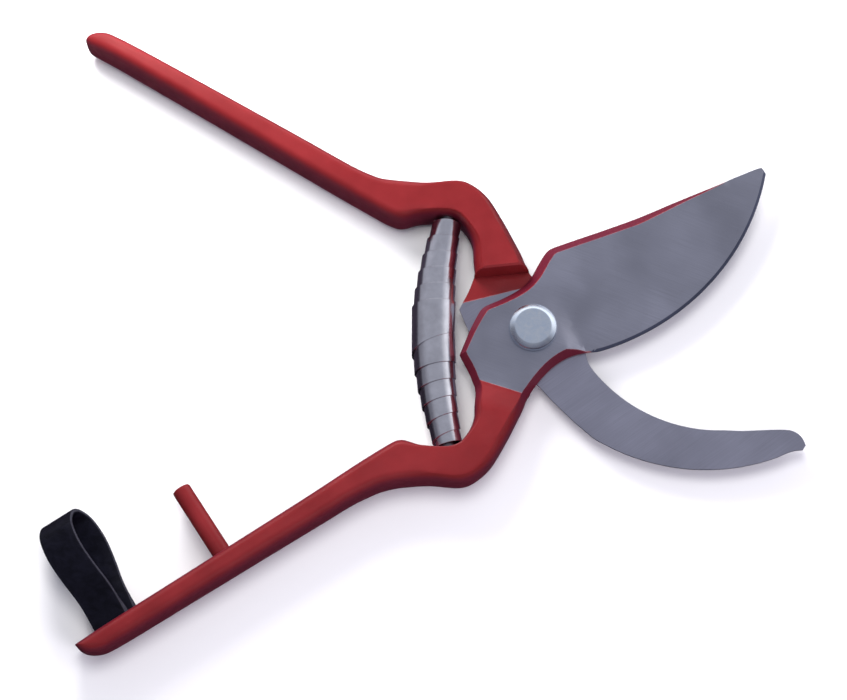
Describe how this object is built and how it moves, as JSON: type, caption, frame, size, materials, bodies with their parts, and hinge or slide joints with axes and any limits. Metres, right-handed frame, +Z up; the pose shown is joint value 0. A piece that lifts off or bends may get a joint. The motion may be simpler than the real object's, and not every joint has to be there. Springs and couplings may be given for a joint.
{
  "type": "pruning shears",
  "caption": "Forged bypass pruning shears with a curved blade, bare hook, red handles, barrel volute spring, stop peg and leather catch loop.",
  "frame": {"origin": "on the pivot axis, in the plane the shears rest on, which is the bolt's flat lower end", "axes": "+Z up along the pivot, +X towards the blades, +Y towards the handle that is one piece with the hook"},
  "size_m": [0.208, 0.1792, 0.0135],
  "materials": {
    "red_paint": "semi-gloss red enamel on forged steel, ground bare on the plate and blade",
    "ground_steel": "ground and satin polished",
    "zinc_plate": "bright zinc plating",
    "spring_steel": "bright polished spring strip",
    "black_leather": "smooth black leather with a cut edge"
  },
  "bodies": {
    "blade_half": {"blade_forging": "red_paint", "pivot_bolt": "zinc_plate", "lock_washer": "zinc_plate", "pivot_nut": "zinc_plate", "volute_spring": "spring_steel", "spring_stud_lower": "ground_steel", "stop_peg": "red_paint", "strap_pin": "ground_steel"},
    "hook_half": {"hook_forging": "red_paint", "spring_stud_upper": "ground_steel"},
    "strap": {"strap_loop": "black_leather"}
  },
  "joints": [
    {"name": "pivot", "type": "hinge", "parent": "blade_half", "child": "hook_half", "pos_m": [0, 0, 0.0065], "axis": [0, 0, 1], "range_deg": [0, 60], "stiffness_Nm_per_rad": 1.5, "springref_deg": -17.19, "deforming": ["volute_spring"]},
    {"name": "strap_swing", "type": "hinge", "parent": "blade_half", "child": "strap", "pos_m": [-0.11093, -0.08279, 0.0065], "axis": [0, 0, 1], "range_deg": [0, 45], "stiffness_Nm_per_rad": 0.02, "deforming": ["strap_loop"]}
  ]
}
